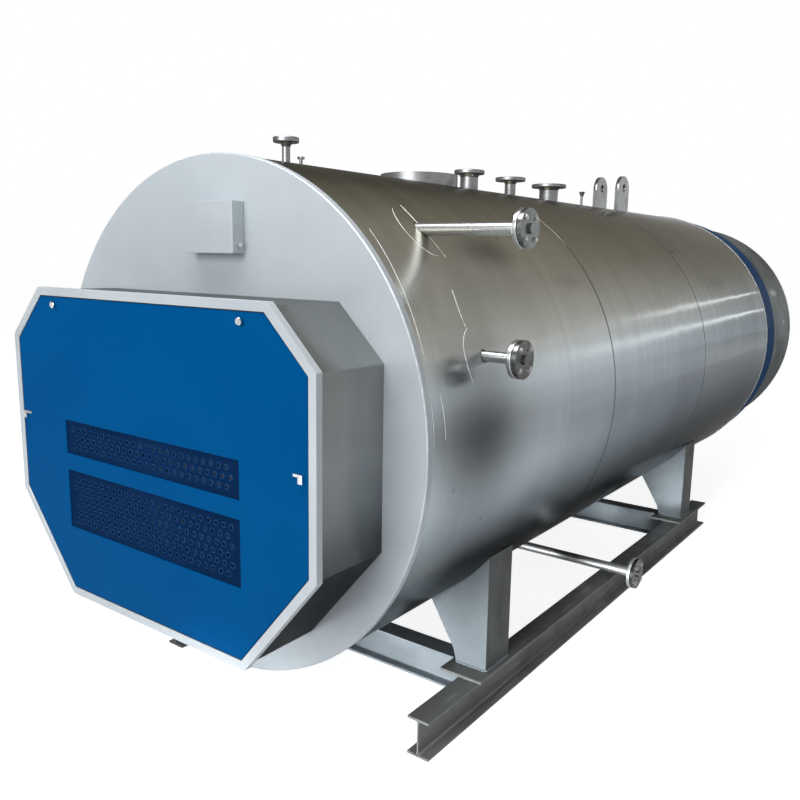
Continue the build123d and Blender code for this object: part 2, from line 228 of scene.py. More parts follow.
# %% [markdown]
# ## Words for building a material
# With these few functions a material reads like a recipe: start it, place effects, mix colours by them,
# turn one into a roughness or a bump, and join the lot to the shader. Every effect reads Object
# coordinates, so a finish stays fixed to the boiler wherever the camera stands.

# %% Start, mix, bend and finish
WHITE = (1.0, 1.0, 1.0)


def new_material(name, metallic, roughness, specular=0.5, tint=1.0):
    """A material with its shader and its Object coordinates. The tint scales a metal's reflection where it
    is seen at a flat angle, and 1 leaves it whole."""
    material = bpy.data.materials.new(name)
    material.use_nodes = True
    tree = material.node_tree
    shader = tree.nodes["Principled BSDF"]
    shader.inputs["Metallic"].default_value = metallic
    shader.inputs["Roughness"].default_value = roughness
    shader.inputs["Specular IOR Level"].default_value = specular
    shader.inputs["Specular Tint"].default_value = (tint, tint, tint, 1)
    return material, tree, shader, add(tree, "TexCoord")


def effect(tree, point, group, **inputs):
    """Places a shared effect with its own values, read at the Object coordinates."""
    return join(tree, point, add(tree, "Group", inputs, node_tree=group), "Object", "Point")


def ramp(tree, source, stops, output=0):
    """Colours by a value: each stop is a place from 0 to 1 and a colour."""
    node = add(tree, "ValToRGB")
    elements = node.color_ramp.elements
    while len(elements) < len(stops):
        elements.new(0.5)
    for element, (place, colour) in zip(elements, stops):
        element.position = place
        element.color = (*colour, 1)
    return join(tree, source, node, output, "Fac")


def darker(colour, share):
    """A plain colour times a share."""
    return tuple(share * part for part in colour)


def colour_of(node):
    """Colour output of a node: the third one of a mix, and the first one of any other."""
    return node.outputs[2 if node.bl_idname == "ShaderNodeMix" else 0]


def mixed(tree, first, second, share, blend="MIX"):
    """Mixes two colours, each a node or a plain colour, by a share, which is a node or a plain number."""
    node = add(tree, "Mix", data_type="RGBA", blend_type=blend)
    for socket, colour in ((6, first), (7, second)):
        if hasattr(colour, "outputs"):
            tree.links.new(colour_of(colour), node.inputs[socket])
        else:
            node.inputs[socket].default_value = (*colour, 1)
    if hasattr(share, "outputs"):
        tree.links.new(share.outputs[0], node.inputs[0])
    else:
        node.inputs[0].default_value = share
    return node


def span(tree, source, low, high, from_low=0.0, from_high=1.0, output=0):
    """Takes a value from one range to another, as for a roughness between two limits."""
    node = add(tree, "MapRange", {"From Min": from_low, "From Max": from_high, "To Min": low, "To Max": high})
    return join(tree, source, node, output, "Value")


def bump(tree, height, strength, distance, under=None):
    """Turns a height into a bent normal, on top of another bump where one is given."""
    node = add(tree, "Bump", {"Strength": strength, "Distance": distance})
    if under is not None:
        join(tree, under, node, 0, "Normal")
    return join(tree, height, node, 0, "Height")


def finish_shader(tree, shader, colour, roughness=None, normal=None):
    """Joins the colour, and the roughness and the normal where they are given, to the shader."""
    tree.links.new(colour_of(colour), shader.inputs["Base Color"])
    if roughness is not None:
        join(tree, roughness, shader, 0, "Roughness")
    if normal is not None:
        join(tree, normal, shader, 0, "Normal")


# %% [markdown]
# ## Stainless sheet
# The lagging is thin stainless sheet with a fine satin grain round the barrel. It is never quite flat: slow
# waves in it make the reflections wander. Its colour follows the height on the barrel as painted reflection
# and painted shade: the bright bands and the dim, warm band under a dark crown are the hall mirrored in the
# sheet, and the dark belly is painted shade. Cloudy wiping marks and faint bands lie over it. A few marks
# have known places: small dents and rubs, and painted reflections near the front, the soft dark and light
# shapes of the hall. The sheets meet in two dark seams. People handle the front of the boiler more than its
# rear, so the sheet is rougher there. At a flat angle real sheet reflects less than a perfect metal does,
# hence the tint. The burner hood is the same sheet with its own painted reflection and painted shade.

# %% Marks, painted reflection and painted shade of the sheet
DULL_AND_DARK_REFLECTION, PAINTED_DARK_REFLECTION, PAINTED_LIGHT_REFLECTION = (0.1, 0.1, 0.095), (0.11, 0.116, 0.116), (0.66, 0.73, 0.77)
# Each entry is a mark or a painted reflection: millimetres behind the plate and degrees above the axis, then
# its reach along the barrel and across it in metres, its strength and its tone.
SHEET_MARKS_AND_REFLECTIONS = [
    ((794, 46.2), (0.012, 0.012), 0.55, DULL_AND_DARK_REFLECTION),
    ((2610, 44.1), (0.05, 0.02), 0.5, DULL_AND_DARK_REFLECTION),
    ((368, -18.2), (0.011, 0.011), 0.6, DULL_AND_DARK_REFLECTION),
    ((152, -8.0), (0.01, 0.01), 0.6, DULL_AND_DARK_REFLECTION),
    ((1130, 33.0), (0.2, 0.05), 0.16, DULL_AND_DARK_REFLECTION),
    ((3050, 30.0), (0.3, 0.06), 0.14, DULL_AND_DARK_REFLECTION),
    # The next three are painted reflections of the hall: a dark cloud beside the plate, a darker patch above
    # it, and a light patch low on the belly.
    ((290, 1.0), (0.46, 0.42), 0.92, PAINTED_DARK_REFLECTION),
    ((640, 42.0), (0.26, 0.1), 0.5, DULL_AND_DARK_REFLECTION),
    ((90, -34.0), (0.3, 0.28), 0.6, PAINTED_LIGHT_REFLECTION),
]
SEAM_PLACES = [corner.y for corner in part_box("lagging_middle")]
SEAM_WIDTH, SEAM_DEPTH, SEAM_TONE = 0.009, 0.85, (0.02, 0.02, 0.02)
# Painted reflection and painted shade by height on the barrel: bright bands where the hall is mirrored, a dim
# warm band under a dark crown, and a dark belly.
BARREL_REFLECTION_AND_SHADE = [
    (0.0, (0.03, 0.034, 0.038)), (0.2, (0.08, 0.088, 0.094)), (0.25, (0.16, 0.178, 0.19)),
    (0.3, (0.29, 0.325, 0.35)), (0.36, (0.48, 0.55, 0.6)), (0.43, (0.66, 0.745, 0.8)),
    (0.5, (0.74, 0.81, 0.86)), (0.57, (0.52, 0.57, 0.6)), (0.62, (0.52, 0.56, 0.575)),
    (0.66, (0.68, 0.71, 0.715)), (0.73, (0.72, 0.75, 0.735)), (0.82, (0.62, 0.615, 0.555)),
    (0.9, (0.6, 0.58, 0.48)), (0.94, (0.62, 0.58, 0.46)), (0.985, (0.19, 0.17, 0.135)),
    (1.0, (0.16, 0.143, 0.113)),
]
# Painted reflection and painted shade by height on the burner hood: darkest at its foot, a little dimmer at
# its top.
HOOD_REFLECTION_AND_SHADE = [
    (0.0, (0.02, 0.022, 0.024)), (0.22, (0.03, 0.033, 0.035)), (0.3, (0.055, 0.06, 0.062)),
    (0.36, (0.11, 0.12, 0.122)), (0.43, (0.24, 0.253, 0.258)), (0.5, (0.34, 0.35, 0.352)),
    (0.6, (0.33, 0.337, 0.335)), (0.73, (0.27, 0.274, 0.268)), (0.82, (0.2, 0.203, 0.197)),
    (0.87, (0.3, 0.305, 0.295)), (1.0, (0.3, 0.305, 0.295)),
]
print("marks:", len(SHEET_MARKS_AND_REFLECTIONS), "seams at", [round(place, 3) for place in SEAM_PLACES])


# %% Sheet material
HANDLED_TO, SMOOTH_FROM = along(0.9), along(3.6)
HANDLED_ROUGH, SMOOTH_ROUGH, STREAK_ROUGH = 0.22, 0.06, 0.05


def stainless_sheet(name, tones, marks=(), seams=()):
    """Satin stainless sheet: colour by height as painted reflection and painted shade, wiping marks, faint
    bands, marks, painted reflections and seams at known places, slow waves under fine grain. The roughness
    falls from the handled front to the rear, plus a share of the bands."""
    material, tree, shader, point = new_material(name, 1.0, 0.2, tint=0.4)
    painted_light_by_height = ramp(tree, effect(tree, point, BARREL_HEIGHT), tones)
    wiping = effect(tree, point, PATCHES, Scale=1.2, Low=0.35, High=0.7)
    cloudy = mixed(tree, painted_light_by_height, (0.84, 0.85, 0.86), wiping, "MULTIPLY")
    streaks = effect(tree, point, GRAIN, Scale=(0.5, 16.0, 0.5), Detail=3.0)
    bands = ramp(tree, streaks, [(0.4, (0.93, 0.93, 0.92)), (0.6, WHITE)])
    marked, normal = mixed(tree, cloudy, bands, 0.8, "MULTIPLY"), None
    # Marks at known places, some of them painted reflections of the hall.
    for (distance, degrees), (reach, across), depth, tone in marks:
        centre = on_barrel(distance, degrees)
        mark = effect(tree, point, SPOT, Centre=centre, Size=(across, reach, across))
        marked = mixed(tree, marked, tone, span(tree, mark, 0.0, depth))
        normal = bump(tree, mark, depth, -0.002, under=normal)
    for place in seams:
        joint = effect(tree, point, SEAM, Place=place, Width=SEAM_WIDTH)
        marked = mixed(tree, marked, SEAM_TONE, span(tree, joint, 0.0, SEAM_DEPTH))
    waves = effect(tree, point, PATCHES, Scale=0.9, Low=0.2, High=0.8)
    grain = effect(tree, point, GRAIN, Scale=(5.0, 900.0, 5.0), Detail=3.0)
    fine = bump(tree, grain, 0.03, 0.0004, under=bump(tree, waves, 0.3, 0.01, under=normal))
    parts = join(tree, point, add(tree, "SeparateXYZ"), "Object", 0)
    handled = span(tree, parts, HANDLED_ROUGH, SMOOTH_ROUGH, HANDLED_TO, SMOOTH_FROM, output="Y")
    rough = maths(tree, "MULTIPLY_ADD", (streaks, 0), STREAK_ROUGH, (handled, 0))
    finish_shader(tree, shader, marked, rough, fine)
    return material


# %% [markdown]
# ## Paints
# Paint over steel is a colour with a soft gloss and a slight orange peel from the spray gun. The silver
# paint of the plate and frame has fine metal flakes, so it is partly metallic, and the big plate carries
# painted shade, darker towards its foot under the hood's shadow. The blue of the cover is a smooth coat
# with hardly any texture. The skid and legs are brushed more roughly and have picked up dust and rubs.
# The outer faces of the legs carry painted shade: they are darker than their fronts, as little light
# falls on them.

# %% Sprayed and brushed paint
def sprayed(name, colour, metallic, roughness, dust, specular=0.5, peel=0.06, tones=None):
    """Sprayed paint: a colour with slow clouds of dust, a roughness that follows them, and a fine orange
    peel. Where tones are given, the paint is also multiplied by a tone that follows the height on the
    boiler, as painted shade."""
    material, tree, shader, point = new_material(name, metallic, roughness, specular)
    clouds = effect(tree, point, PATCHES, Scale=2.6, Low=0.35, High=0.7)
    fleck = effect(tree, point, SPECKLE, Scale=85.0, Size=0.1)
    base = mixed(tree, colour, dust, clouds)
    flecked = mixed(tree, base, darker(dust, 0.8), fleck)
    # Painted shade by height, where tones are given.
    if tones:
        painted_light_by_height = ramp(tree, effect(tree, point, BARREL_HEIGHT), tones)
        flecked = mixed(tree, flecked, painted_light_by_height, 1.0, "MULTIPLY")
    orange_peel = effect(tree, point, PATCHES, Scale=170.0, Low=0.2, High=0.8)
    skin = bump(tree, orange_peel, peel, 0.0008)
    finish_shader(tree, shader, flecked, span(tree, clouds, roughness, roughness + 0.1), skin)
    return material


def brushed(name, colour, worn, wear_low=0.58, metallic=0.0, outer=None):
    """Brush paint on rolled steel: clouds of a darker tone, rubs drawn out along the beam, flecks and pits.
    Where outer is given, as a place on X and a tone, faces further out than the place are multiplied by the
    tone, as painted shade.
    tone."""
    material, tree, shader, point = new_material(name, metallic, 0.4, specular=0.15)
    rubs = effect(tree, point, GRAIN, Scale=(30.0, 3.0, 30.0), Detail=6.0)
    clouds = effect(tree, point, PATCHES, Scale=4.5, Low=0.42, High=0.72)
    rubbed = mixed(tree, colour, worn, span(tree, rubs, 0.0, 1.0, wear_low, wear_low + 0.14))
    dusty = mixed(tree, rubbed, darker(colour, 0.72), clouds)
    fleck = effect(tree, point, SPECKLE, Scale=70.0, Size=0.14)
    spotted = mixed(tree, dusty, darker(colour, 0.5), fleck)
    # Painted shade: faces further out than the place are darkened by the tone.
    if outer:
        place, tone = outer
        parts = join(tree, point, add(tree, "SeparateXYZ"), "Object", 0)
        painted_shade_side = maths(tree, "GREATER_THAN", (maths(tree, "ABSOLUTE", (parts, "X")), 0), place)
        spotted = mixed(tree, spotted, mixed(tree, spotted, tone, 1.0, "MULTIPLY"), painted_shade_side)
    pits = effect(tree, point, PATCHES, Scale=60.0, Low=0.3, High=0.75)
    finish_shader(tree, shader, spotted, span(tree, clouds, 0.32, 0.52), bump(tree, pits, 0.12, 0.001))
    return material


# %% [markdown]
# ## Bare metals
# The collar and the nozzles are turned steel with fine tool marks and darker stains. Black plate keeps its
# mill scale, a dark blue-grey skin with paler rubs and a little brown. Everything else is a smooth metal
# with a faint tarnish, each in its own tone: bright fasteners, a softer end trim, pale pipes, grey lugs and
# vents, and blank flanges that are nearly black.

# %% Turned steel, mill scale, smooth metal and film
def bare_steel():
    """Turned steel: fine tool marks, slow darker stains and a roughness that follows the stains."""
    material, tree, shader, point = new_material("bare_steel", 1.0, 0.4, tint=0.6)
    turning = effect(tree, point, GRAIN, Scale=(700.0, 25.0, 60.0), Detail=3.0)
    stains = effect(tree, point, PATCHES, Scale=9.0, Low=0.45, High=0.72)
    base = mixed(tree, (0.29, 0.295, 0.3), (0.18, 0.178, 0.17), stains)
    marks = ramp(tree, turning, [(0.35, (0.82, 0.82, 0.82)), (0.65, WHITE)])
    marked = mixed(tree, base, marks, 0.7, "MULTIPLY")
    finish_shader(tree, shader, marked, span(tree, stains, 0.38, 0.5), bump(tree, turning, 0.05, 0.0004))
    return material


HEAD_RADIUS, HEAD_MARK_DEEP = 0.8, 0.2
# Each mark is a place as on the sheet, its reach along the boiler and up, and its strength.
HEAD_MARKS = [
    ((4560, 24), (0.16, 0.035), 0.75),
    ((4700, 8), (0.05, 0.03), 0.45),
    ((4480, -6), (0.04, 0.05), 0.4),
]


def mill_plate():
    """Mill scale: dark scale, paler scuffs drawn out round the head, brown and dark spots and a scaly
    bump."""
    material, tree, shader, point = new_material("mill_plate", 0.6, 0.42, tint=0.5)
    scale = effect(tree, point, PATCHES, Scale=3.4, Low=0.36, High=0.66)
    scuffs = effect(tree, point, GRAIN, Scale=(7.0, 26.0, 9.0), Detail=8.0)
    rust = effect(tree, point, PATCHES, Scale=13.0, Low=0.62, High=0.74)
    fleck = effect(tree, point, SPECKLE, Scale=26.0, Size=0.2)
    dark = mixed(tree, (0.1, 0.116, 0.12), (0.2, 0.225, 0.23), scale)
    scuffed = mixed(tree, dark, (0.42, 0.45, 0.455), span(tree, scuffs, 0.0, 0.9, 0.56, 0.74))
    rusty = mixed(tree, scuffed, (0.16, 0.1, 0.06), span(tree, rust, 0.0, 0.3))
    flecked = mixed(tree, rusty, (0.03, 0.034, 0.036), span(tree, fleck, 0.0, 0.45))
    for (distance, degrees), (reach, tall), depth in HEAD_MARKS:
        centre = on_barrel(distance, degrees, HEAD_RADIUS)
        mark = effect(tree, point, SPOT, Centre=centre, Size=(HEAD_MARK_DEEP, reach, tall))
        flecked = mixed(tree, flecked, (0.75, 0.78, 0.78), span(tree, mark, 0.0, depth))
    flakes = effect(tree, point, PATCHES, Scale=45.0, Low=0.35, High=0.65)
    finish_shader(tree, shader, flecked, span(tree, scuffs, 0.34, 0.56), bump(tree, flakes, 0.18, 0.0012))
    return material


def smooth_metal(name, bright, dull, roughness, spread=0.16, patch=40.0):
    """Plated or polished metal: a bright colour with faint tarnish, rougher by the spread where it is
    tarnished. The patch is how many patches of tarnish there are to a metre, roughly."""
    material, tree, shader, point = new_material(name, 1.0, roughness)
    tarnish = effect(tree, point, PATCHES, Scale=patch, Low=0.4, High=0.7)
    rough = span(tree, tarnish, roughness, roughness + spread)
    finish_shader(tree, shader, mixed(tree, bright, dull, tarnish), rough)
    return material


def film_edge_with_glint():
    """Cut edge of protective film: thin milky plastic with patches of gathered dust, and a painted glint in
    its pale colour.
    """
    material, tree, shader, point = new_material("film_edge_with_glint", 0.0, 0.45)
    dust = effect(tree, point, PATCHES, Scale=30.0, Low=0.4, High=0.7)
    finish_shader(tree, shader, mixed(tree, (0.85, 0.86, 0.86), (0.55, 0.53, 0.5), dust))
    return material


# %% [markdown]
# ## Give every node its finish
# The CAD record names a material slot for each node, and there is one finish for each slot. Some nodes then
# get a finish of their own, where the same kind of material looks different on the real boiler.

# %% Finishes by slot
SILVER, SILVER_DUST = (0.44, 0.475, 0.5), (0.38, 0.415, 0.44)
LEG_BLUE, LEG_WORN, LEG_WEAR = (0.2, 0.228, 0.248), (0.26, 0.285, 0.3), 0.62
PAINT_SHINE = 0.008

finishes = {
    "silver_paint": sprayed("silver_paint", SILVER, 0.3, 0.3, SILVER_DUST),
    "stainless_sheet": stainless_sheet("stainless_sheet", BARREL_REFLECTION_AND_SHADE, SHEET_MARKS_AND_REFLECTIONS, SEAM_PLACES),
    "blue_paint": sprayed(
        "blue_paint", (0.0, 0.053, 0.172), 0.0, 0.36, (0.0, 0.058, 0.18), specular=PAINT_SHINE, peel=0.03),
    "screen_paint": sprayed(
        "screen_paint", (0.0025, 0.016, 0.056), 0.0, 0.5, (0.002, 0.013, 0.046), specular=PAINT_SHINE),
    "bare_steel": bare_steel(),
    "mill_plate": mill_plate(),
    "skid_paint": brushed("skid_paint", (0.17, 0.175, 0.168), (0.3, 0.3, 0.29), metallic=0.05),
    "leg_paint": brushed("leg_paint", LEG_BLUE, LEG_WORN, LEG_WEAR),
    "bright_metal": smooth_metal("bright_metal", (0.82, 0.83, 0.85), (0.58, 0.57, 0.54), 0.14),
}
slot_of = {row["node"]: row["material_slot"] for row in frame["record"]["subparts"]}
for name, piece in nodes.items():
    piece.data.materials.clear()
    piece.data.materials.append(finishes[slot_of[name]])
print("finishes:", sorted(finishes))

# %% Finishes of single nodes
# Painted shade on the front plate: darker towards its foot, under the hood's shadow, and a little lighter at
# its top.
PLATE_PAINTED_SHADE = [
    (0.0, (0.66, 0.67, 0.68)), (0.25, (0.8, 0.81, 0.82)), (0.42, WHITE), (0.6, (0.9, 0.9, 0.9)),
    (1.0, (1.06, 1.07, 1.08)),
]
leg_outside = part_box("front_leg_right")[1].x - 0.0012
own_finishes = [
    # The hood's sheet carries its own painted reflection and painted shade.
    (stainless_sheet("hood_sheet", HOOD_REFLECTION_AND_SHADE), ["hood_sides"]),
    (sprayed("plate_paint", SILVER, 0.3, 0.3, SILVER_DUST, tones=PLATE_PAINTED_SHADE), ["front_plate"]),
    # The legs' outer faces get painted shade.
    (brushed("leg_sides_painted_shade", LEG_BLUE, LEG_WORN, LEG_WEAR, outer=(leg_outside, (0.42, 0.39, 0.36))), ["_leg_"]),
    (smooth_metal("blank_steel", (0.17, 0.175, 0.175), (0.1, 0.102, 0.1), 0.24, spread=0.08, patch=24.0),
     ["gauge_cover", "blow_down_cover"]),
    (smooth_metal("trim_metal", (0.5, 0.52, 0.53), (0.36, 0.38, 0.39), 0.36), ["end_trim"]),
    (smooth_metal("pipe_steel", (0.47, 0.48, 0.49), (0.4, 0.405, 0.405), 0.27, spread=0.03, patch=9.0),
     ["gauge_pipe"]),
    (smooth_metal("drain_steel", (0.82, 0.83, 0.84), (0.74, 0.745, 0.745), 0.38, spread=0.03, patch=9.0),
     ["blow_down_pipe"]),
    (smooth_metal("lug_steel", (0.26, 0.265, 0.265), (0.2, 0.2, 0.195), 0.3, spread=0.05, patch=7.0),
     ["lifting_lugs", "vent_cock", "vent_funnel"]),
]
for finish, parts in own_finishes:
    for name in matching(*parts):
        nodes[name].data.materials[0] = finish
    print(finish.name, "on", matching(*parts))

# %% [markdown]
# ## Softened edges
# Sawn plate, rolled beams and folded sheet have a small round on every edge, and that round is what catches
# the light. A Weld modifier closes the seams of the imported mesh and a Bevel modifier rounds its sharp
# edges. A bevel only takes material away, so nothing grows past the CAD.

# %% Weld and bevel
WELD_DISTANCE, SHARP_DEGREES = 0.00001, 40
EDGE_ROUNDS = {
    0.001: ["front_cover", "cover_latches"],
    0.0015: ["cover_frame", "base_plates", "lifting_lugs", "skid_beam", "cross_beam"],
    0.002: ["plate_box", "_leg_"],
}
for width, parts in EDGE_ROUNDS.items():
    for name in matching(*parts):
        weld = nodes[name].modifiers.new("weld", "WELD")
        weld.merge_threshold = WELD_DISTANCE
        edge_round = nodes[name].modifiers.new("edge_round", "BEVEL")
        edge_round.width = width
        edge_round.segments = 2
        edge_round.limit_method = "ANGLE"
        edge_round.angle_limit = math.radians(SHARP_DEGREES)
        edge_round.harden_normals = True
    print("rounded by", width, "m:", matching(*parts))


# %% [markdown]
# ## Meshes from rings of points
# Every small piece here is a tube: rings of points, each joined to the next by four-cornered faces. A bolt,
# a nut or a pressed rim is a profile turned about an axis. The profile is a short list of radius and
# height, the turn is an array of angles, and their product is a grid of points that numpy works out in one
# go. With six steps the turn gives a hexagon.

# %% Skin rings, turn a profile, join copies, make the piece
def skin(rings, steps, closed=False, flip=False):
    """Faces of a tube of rings: point k and the one after it, on one ring, are joined to the same two on
    the next. A closed tube comes back to its first ring, an open one gets an end face on either side."""
    ring = np.arange(steps)
    after = (ring + 1) % steps
    first = np.arange(rings if closed else rings - 1)[:, None] * steps
    second = (first + steps) % (rings * steps)
    quads = np.stack([first + ring, first + after, second + after, second + ring], axis=-1)
    faces = quads.reshape(-1, 4).tolist()
    if not closed:
        faces += [ring[::-1].tolist(), ((rings - 1) * steps + ring).tolist()]
    return [face[:1] + face[:0:-1] for face in faces] if flip else faces


def turned(profile, steps, closed=False):
    """A turned profile: points at radius times cosine, radius times sine, and height, for evenly spaced
    angles. A profile that goes up on its outer side gets faces that look outwards."""
    radius, height = np.array(profile, float).T[:, :, None]
    angle = np.arange(steps) * 2 * math.pi / steps
    grid = np.stack([radius * np.cos(angle), radius * np.sin(angle), height + 0 * angle], axis=-1)
    return grid.reshape(-1, 3), skin(len(profile), steps, closed)


TURNS = {
    "+z": np.eye(3),
    "+x": np.array([(0, 1, 0), (0, 0, 1), (1, 0, 0)], float),
    "-x": np.array([(0, -1, 0), (0, 0, 1), (-1, 0, 0)], float),
    "-y": np.array([(1, 0, 0), (0, 0, 1), (0, -1, 0)], float),
}


def placed(shape, place, direction="+z"):
    """A copy whose Z axis points in a direction, moved to a place: points times the turn, plus the place."""
    points, faces = shape
    return points @ TURNS[direction] + np.array(place, float), faces


def joined(shapes):
    """One set of points and faces from many: each shape's face numbers go up by the points before it."""
    points, faces, before = [], [], 0
    for shape_points, shape_faces in shapes:
        points.append(shape_points)
        faces += [[before + corner for corner in face] for face in shape_faces]
        before += len(shape_points)
    return np.concatenate(points), faces


def put(name, data):
    """Makes an object of its data and puts it in the scene."""
    made = bpy.data.objects.new(name, data)
    bpy.context.scene.collection.objects.link(made)
    return made


def make_piece(name, shape, finish, sharp=35):
    """Puts points and faces into a mesh, shades it smooth up to an angle and lets it ride on the boiler."""
    points, faces = shape
    mesh = bpy.data.meshes.new(name)
    mesh.from_pydata(points.tolist(), [], faces)
    mesh.update()
    mesh.polygons.foreach_set("use_smooth", np.ones(len(mesh.polygons), bool))
    mesh.set_sharp_from_angle(angle=math.radians(sharp))
    mesh.materials.append(finish)
    piece = put(name, mesh)
    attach(piece, "root")
    print(name, "faces:", len(mesh.polygons))


# %% [markdown]
# ## Bolts through the blank flanges
# Each gauge pipe and the blow-down pipe end in a flange with a blank bolted on. Four studs go through both,
# with a chamfered hexagon nut on a washer on the outer side and another nut behind the flange. One stud is
# turned once and then placed round every bolt circle.

# %% Nut, washer and stud
def nut(size, height):
    """Hexagon nut, turned in six steps, with its end corners taken off. Size is half of its width at the
    corners."""
    return turned([(size * 0.9, 0), (size, height * 0.12), (size, height * 0.86), (size * 0.86, height)], 6)


def washer(size, height):
    """Washer: a low turned disc with a small bevel."""
    return turned([(size, 0), (size, height * 0.7), (size * 0.97, height)], 20)


def stud(size, length):
    """Stud end: a turned rod with a bevelled tip."""
    return turned([(size, 0), (size, length * 0.97), (size * 0.8, length)], 14)


# Radii are shares of the hole's radius. Heights and what a stud stands past are shares of the stud's radius.
STUD_RADIUS, NUT_RADIUS, WASHER_RADIUS = 0.7, 1.254, 1.386
NUT_HEIGHT, WASHER_HEIGHT, STUD_PAST = 0.95, 0.25, 1.3


def bolt_set(hole, front, back):
    """A stud with both nuts along Z: from behind the flange at back to in front of the blank at front."""
    rod = hole * STUD_RADIUS
    one_nut = nut(hole * NUT_RADIUS, rod * NUT_HEIGHT)
    return joined([
        placed(stud(rod, front - back + 2 * STUD_PAST * rod), (0, 0, back - STUD_PAST * rod)),
        placed(washer(hole * WASHER_RADIUS, rod * WASHER_HEIGHT), (0, 0, front)),
        placed(one_nut, (0, 0, front + rod * WASHER_HEIGHT)),
        placed(one_nut, (0, 0, back - rod * NUT_HEIGHT)),
    ])


# %% Bolts of all five blanks
GAUGE_CIRCLE, GAUGE_HOLE = 0.0425, 0.007
DRAIN_CIRCLE, DRAIN_HOLE = 0.05, 0.009
BOLT_ANGLES = np.radians([45, 135, 225, 315])
BLANK_THICKNESS, JOINT_GAP, FLANGE_THICKNESS = 0.014, 0.002, 0.016
all_bolts = []
for name in matching("gauge_cover", "blow_down_cover"):
    circle, hole = (DRAIN_CIRCLE, DRAIN_HOLE) if name == "blow_down_cover" else (GAUGE_CIRCLE, GAUGE_HOLE)
    low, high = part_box(name)
    joint_face = low.x if low.x > 0 else -high.x
    centre = (low + high) / 2
    one = bolt_set(hole, joint_face + JOINT_GAP + BLANK_THICKNESS, joint_face - FLANGE_THICKNESS)
    round_circle = joined([placed(one, (circle * math.cos(a), circle * math.sin(a), 0)) for a in BOLT_ANGLES])
    all_bolts.append(placed(round_circle, (0, centre.y, centre.z), "+x" if low.x > 0 else "-x"))
bolt_steel = smooth_metal("bolt_steel", (0.5, 0.5, 0.5), (0.3, 0.295, 0.28), 0.25)
make_piece("blank_bolts", joined(all_bolts), bolt_steel)

# %% [markdown]
# ## Pressed rims of the screens
# The sheet behind each window of the cover is punched in a staggered pattern, and the punch leaves a low
# raised rim round every hole. Those rims are what catches the light on the real screens, and their paint,
# lighter than the screen's, is a painted glint. Each is a tiny turned ring with a crest, and all rings of
# one screen are one mesh.

# %% Rims on both screens
HOLE_RADIUS, HOLE_PITCH = 0.0065, 0.0325
ROW_STEP = HOLE_PITCH * math.sqrt(3) / 2
RIM_WIDTH, RIM_HEIGHT, RIM_STEPS, CREST_SHARE = 0.003, 0.0013, 12, 0.4
WINDOW_LAP = 0.024
SCREEN_ROWS = {"upper_screen": 3, "lower_screen": 6}

rim = turned([
    (HOLE_RADIUS + RIM_WIDTH, 0), (HOLE_RADIUS + RIM_WIDTH * CREST_SHARE, RIM_HEIGHT), (HOLE_RADIUS, 0),
], RIM_STEPS, closed=True)
# The rims' lighter blue is a painted glint, standing for light caught at the hole edges.
screen_rim_with_glint = sprayed("screen_rim_with_glint", (0.006, 0.036, 0.12), 0.0, 0.4, (0.008, 0.045, 0.14), specular=0.04)
window_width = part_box("upper_screen")[1].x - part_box("upper_screen")[0].x - WINDOW_LAP
columns = int((window_width - HOLE_PITCH) / HOLE_PITCH)
for name, rows in SCREEN_ROWS.items():
    low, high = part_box(name)
    middle = (low.z + high.z) / 2
    rims = []
    for row in range(rows):
        shift = HOLE_PITCH / 4 * (1 if row % 2 else -1)
        level = middle + (row - (rows - 1) / 2) * ROW_STEP
        across = shift + (np.arange(columns) - (columns - 1) / 2) * HOLE_PITCH
        rims += [placed(rim, (x, low.y, level), "-y") for x in across]
    make_piece(name + "_rims", joined(rims), screen_rim_with_glint)

# %% [markdown]
# ## Seal round the cover
# The flat cover stands in its frame with a gap of a few millimetres, and a black rubber seal fills it. From
# the front only its thin dark edge shows. The cover's outline is read from its own mesh: the corner that
# reaches furthest in each of many directions, in turn. The seal is a closed ring with a square section
# along it.

# %% Seal
SEAL_START, SEAL_WIDTH, SEAL_BACK, SEAL_FRONT = 0.0001, 0.0028, 0.0039, 0.0006
OUTLINE_START, OUTLINE_STEP = 1.0, 3.0


def cover_outline():
    """Corners of the cover's outline on X and Z: for each direction round the clock, the point with the
    largest product with it. Neighbours that repeat are dropped."""
    mesh = nodes["front_cover"].data
    points = np.empty(len(mesh.vertices) * 3)
    mesh.vertices.foreach_get("co", points)
    flat = points.reshape(-1, 3)[:, [0, 2]]
    angle = np.radians(np.arange(OUTLINE_START, 360.0, OUTLINE_STEP))
    reach = np.stack([np.cos(angle), np.sin(angle)], axis=1) @ flat.T
    corners = np.round(flat[reach.argmax(axis=1)], 6)
    return corners[np.any(corners != np.roll(corners, 1, axis=0), axis=1)]


def seal():
    """Closed ring with a square section: each corner is moved outwards along the sum of its two edge
    normals, over one plus their product, which keeps the width even round the corners."""
    corners = cover_outline()
    edge = np.roll(corners, -1, axis=0) - corners
    normal = np.stack([edge[:, 1], -edge[:, 0]], axis=1) / np.linalg.norm(edge, axis=1)[:, None]
    before = np.roll(normal, 1, axis=0)
    outward = (normal + before) / (1 + np.sum(normal * before, axis=1))[:, None]
    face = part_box("front_cover")[0].y
    section = [
        (SEAL_START, SEAL_FRONT), (SEAL_WIDTH, SEAL_FRONT), (SEAL_WIDTH, SEAL_BACK), (SEAL_START, SEAL_BACK),
    ]
    rings = [np.insert(corners + outward * away, 1, face + deep, axis=1) for away, deep in section]
    return np.concatenate(rings), skin(len(section), len(corners), closed=True, flip=True)


seal_rubber = sprayed("seal_rubber", (0.008, 0.009, 0.01), 0.0, 0.6, (0.014, 0.015, 0.016), specular=0.1)
make_piece("cover_seal", seal(), seal_rubber)

